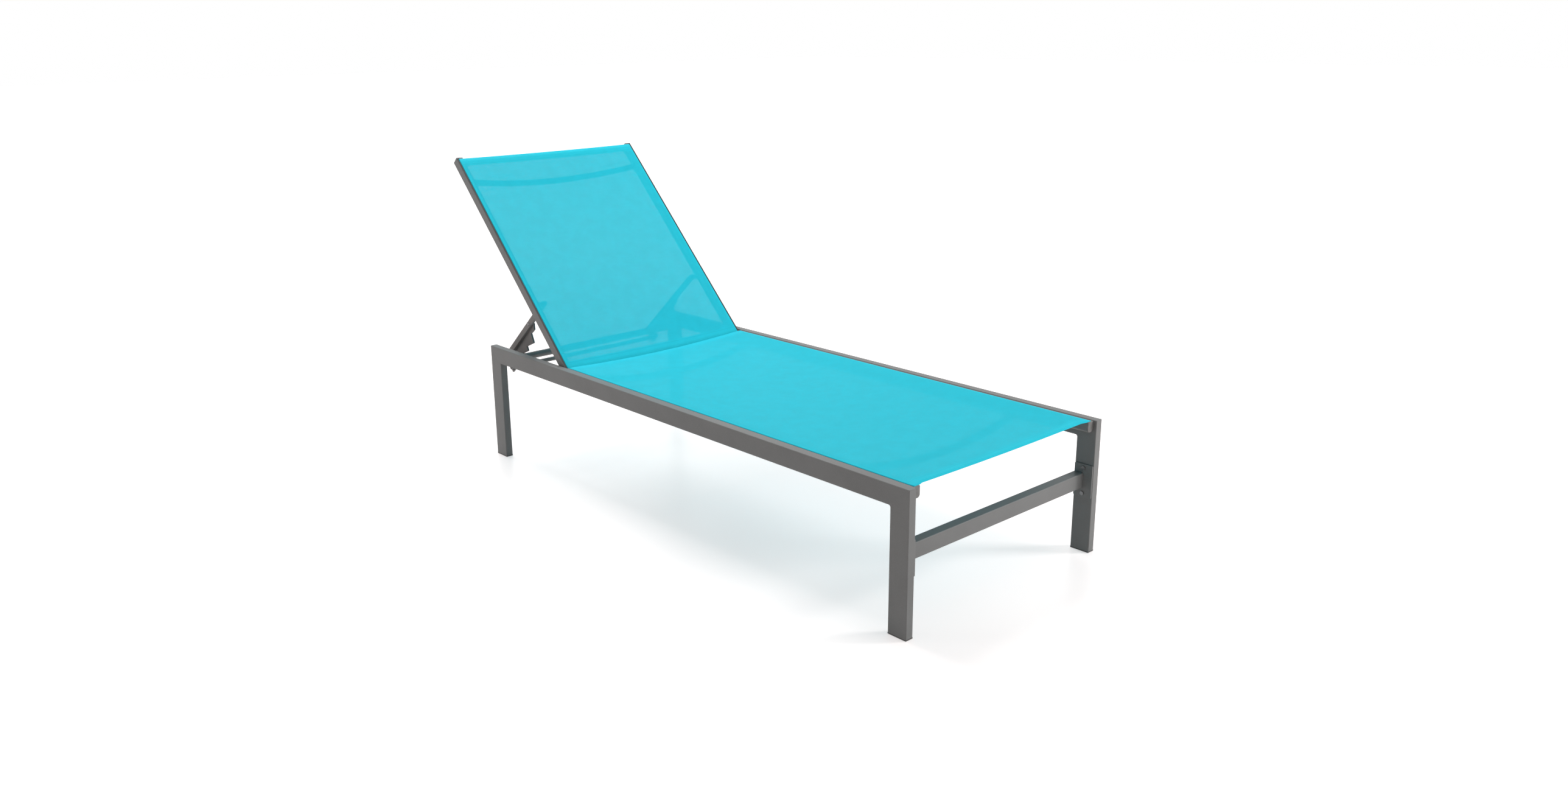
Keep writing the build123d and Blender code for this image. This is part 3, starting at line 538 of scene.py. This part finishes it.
def build_sling(name, node, rail_node, to_world, sag, hem_setback, taut_end, lining):
    """A woven sling with folded hems, made in its own frame and placed by to_world.

    Gives the object, and the width and length that it was cut to.
    """
    low, high = local_box(node, to_world.inverted())
    rail_low, rail_high = local_box(rail_node, to_world.inverted())
    rail_outer = max(abs(rail_low.x), abs(rail_high.x))
    rail_inner = min(abs(rail_low.x), abs(rail_high.x))
    profile, sag_shares = sling_profile(rail_outer, rail_inner, high.z)
    widths = [0.0]
    for before, after in zip(profile, profile[1:]):
        widths.append(widths[-1] + (after - before).length)
    length = high.y - low.y
    rows = sling_rows(length)
    vertices, doubles, hems, places = [], [], [], []
    for along, drop, double in rows:
        from_taut = along if taut_end == "foot" else length - along
        slack = min(1.0, from_taut / TAUT_LENGTH)
        row_sag = sag * (TAUT_SAG_SHARE + (1 - TAUT_SAG_SHARE) * slack * (2 - slack))
        for width, point, sag_share in zip(widths, profile, sag_shares):
            inside = min(1.0, max(0.0, (rail_inner - abs(point.x)) / SETBACK_EASE))
            setback = hem_setback * inside * (1 - along / length)
            height = point.z - drop - row_sag * sag_share
            vertices.append(to_world @ Vector((point.x, low.y + along + setback, height)))
            edge = min(width, widths[-1] - width)
            doubles.append(1.0 if double or edge < SLEEVE_DROP + DOUBLE_LAYER_WIDTH else 0.0)
            hems.append(min(along, length - along))
            places.append((width, along + drop))
    mesh = bpy.data.meshes.new(name)
    mesh.from_pydata(vertices, [], grid_faces(len(rows), len(profile)))
    uv_layer = mesh.uv_layers.new(name="UVMap")
    for loop in mesh.loops:
        uv_layer.data[loop.index].uv = places[loop.vertex_index]
    add_values(mesh, "double_layer", doubles)
    add_values(mesh, "from_hem", hems)
    mesh.materials.append(FABRIC)
    mesh.materials.append(lining)
    mesh.shade_smooth()
    sling = new_object(name, mesh)
    solid = sling.modifiers.new("thickness", "SOLIDIFY")
    solid.thickness = SHEET_THICKNESS
    solid.offset = 0
    solid.material_offset = 1
    return sling, (widths[-1], length + HEM_DEPTH * 2)


seat_fabric, seat_flat = build_sling(
    "seat_fabric",
    "seat_sling",
    "seat_rail_left",
    BASE_TURN,
    sag=SEAT_SAG,
    hem_setback=FREE_HEM_SETBACK,
    taut_end="foot",
    lining=SEAT_LINING_PAINTED_SHADE,
)
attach(seat_fabric, "base")
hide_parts("seat_sling")

back_fabric, back_flat = build_sling(
    "back_fabric",
    "back_sling",
    "back_rail_left",
    BACK_TURN,
    sag=BACK_SAG,
    hem_setback=0,
    taut_end="head",
    lining=BACK_LINING,
)
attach(back_fabric, "back")
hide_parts("back_sling")


# Dark strips on the outer lips of the back rails, beside the slots

def rail_dark_strip(name, rail_node, side):
    """Low strip with a rounded top on a back rail's outer lip."""
    low, high = local_box(rail_node, BACK_TURN.inverted())
    rail_outer = max(abs(low.x), abs(high.x))
    outer = rail_outer - DARK_STRIP_FROM_OUTER_FACE
    inner = rail_outer - SLOT_FROM_OUTER_FACE + DARK_STRIP_FROM_SLOT
    middle = (outer + inner) / 2
    half_width = (outer - inner) / 2
    outline = []
    for step in range(DARK_STRIP_STEPS + 1):
        turn = math.pi * step / DARK_STRIP_STEPS
        x = middle - half_width * math.cos(turn)
        outline.append((x, high.z + DARK_STRIP_HEIGHT * math.sin(turn)))
    solid = bmesh.new()
    ends = []
    for along in (DARK_STRIP_START, high.y - DARK_STRIP_END_SETBACK):
        corners = [BACK_TURN @ Vector((side * x, along, z)) for x, z in outline]
        ends.append([solid.verts.new(corner) for corner in corners])
    solid.faces.new(ends[0])
    solid.faces.new(reversed(ends[1]))
    for index in range(len(outline)):
        after = (index + 1) % len(outline)
        solid.faces.new((ends[0][index], ends[1][index], ends[1][after], ends[0][after]))
    bmesh.ops.recalc_face_normals(solid, faces=solid.faces)
    mesh = bpy.data.meshes.new(name)
    solid.to_mesh(mesh)
    solid.free()
    mesh.materials.append(SPLINE_PLASTIC)
    dark_strip = new_object(name, mesh)
    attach(dark_strip, "back")


for side_name, side in (("left", -1), ("right", 1)):
    rail_dark_strip(f"back_rail_dark_strip_{side_name}", f"back_rail_{side_name}", side)


# Studio: pale floor, soft lights and white surroundings

FLOOR_SIZE = 60
FLOOR_GLOW = 0.5
FLOOR_FADE_START = 1.4
FLOOR_FADE_END = 4.0
WORLD_LIGHT = 0.26

# Each softbox's place, the point it faces, its width and height in metres, and its watts
SOFTBOXES = {
    "overhead_softbox": ((0.3, 1.9, 3.6), (0.1, 0, 0), (2.2, 2.6), 98),
    "left_softbox": ((-4.0, 2.6, 1.5), (0, 0.4, 0.3), (1.2, 1.2), 18),
    "front_softbox": ((1.4, -4.3, 1.5), (0, 0, 0.3), (2.4, 1.6), 26),
    "right_softbox": ((2.7, -3.0, 1.9), (0, -0.3, 0.3), (0.9, 0.9), 68),
}


def studio_floor():
    """Pale floor that is lit near the object and fades into the white surroundings."""
    shader = Shader("studio_floor")
    place = shader.place()
    clouds = shader.noise(place, scale=1.5)
    distance = shader.length(place)
    glow = shader.ramp(distance, FLOOR_FADE_START, FLOOR_FADE_END, FLOOR_GLOW, 1)
    shader.set(
        Base_Color=shader.mix(clouds, FLOOR_COLOUR, FLOOR_CLOUD_COLOUR),
        Roughness=0.3,
        Specular_IOR_Level=0.35,
        Emission_Color=WHITE,
        Emission_Strength=shader.math("MULTIPLY", glow, shader.background_ray()),
    )
    bpy.ops.mesh.primitive_plane_add(size=FLOOR_SIZE, location=(0, 0, 0))
    floor = bpy.context.object
    floor.name = "studio_floor"
    floor.data.materials.append(shader.material)


def softbox(name, place, target, size, watts):
    """A soft rectangular light at a place, facing a point."""
    light = bpy.data.lights.new(name, "AREA")
    light.shape = "RECTANGLE"
    light.size, light.size_y = size
    light.energy = watts
    lamp = new_object(name, light)
    lamp.location = place
    facing = Vector(target) - Vector(place)
    lamp.rotation_euler = facing.to_track_quat("-Z", "Y").to_euler()


def white_surroundings():
    """A world that is white where it is seen, and lights the object more softly."""
    world = bpy.data.worlds.new("studio_white")
    bpy.context.scene.world = world
    world.use_nodes = True
    sky = Nodes(world.node_tree)
    soft_light = world.node_tree.nodes["Background"]
    soft_light.inputs["Color"].default_value = WHITE
    soft_light.inputs["Strength"].default_value = WORLD_LIGHT
    seen_white = sky.add("ShaderNodeBackground")
    seen_white.inputs["Color"].default_value = WHITE
    either = sky.add("ShaderNodeMixShader")
    sky.link(sky.background_ray(), either.inputs[0])
    sky.link(soft_light.outputs[0], either.inputs[1])
    sky.link(seen_white.outputs[0], either.inputs[2])
    sky.link(either.outputs[0], world.node_tree.nodes["World Output"].inputs["Surface"])


studio_floor()
for box_name, settings in SOFTBOXES.items():
    softbox(box_name, *settings)
white_surroundings()


# Camera at the photograph's viewing angle; lengths in the photograph are in its pixels

PHOTO_WIDTH = 2576
FOCAL_PIXELS = 2049.8
SHIFT = (0.026, -0.02)
SENSOR_WIDTH = 36
PITCH = 0.2692
HEADING = 0.7207
ROLL = -0.0123
CAMERA_FROM_BASE_CENTRE = Vector((-2006.7, -2215.0, 1167.1)) * MM

front_leg_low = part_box("front_leg_left")[0]
rear_leg_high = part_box("rear_leg_left")[1]
base_centre = Vector((0, (front_leg_low[1] + rear_leg_high[1]) / 2, 0))
forward = Vector((
    math.sin(HEADING) * math.cos(PITCH),
    math.cos(HEADING) * math.cos(PITCH),
    -math.sin(PITCH),
))
level_right = Vector((math.cos(HEADING), -math.sin(HEADING), 0))
level_up = level_right.cross(forward)
right = level_right * math.cos(ROLL) + level_up * math.sin(ROLL)
up = level_up * math.cos(ROLL) - level_right * math.sin(ROLL)
turn = Matrix((right, up, -forward)).transposed().to_4x4()

camera_data = bpy.data.cameras.new("photo_camera")
camera_data.sensor_width = SENSOR_WIDTH
camera_data.lens = FOCAL_PIXELS / PHOTO_WIDTH * SENSOR_WIDTH
camera_data.shift_x, camera_data.shift_y = SHIFT
camera = new_object("photo_camera", camera_data)
camera.matrix_world = Matrix.Translation(base_centre + CAMERA_FROM_BASE_CENTRE) @ turn
bpy.context.scene.camera = camera
bpy.context.scene.view_settings.view_transform = "Standard"
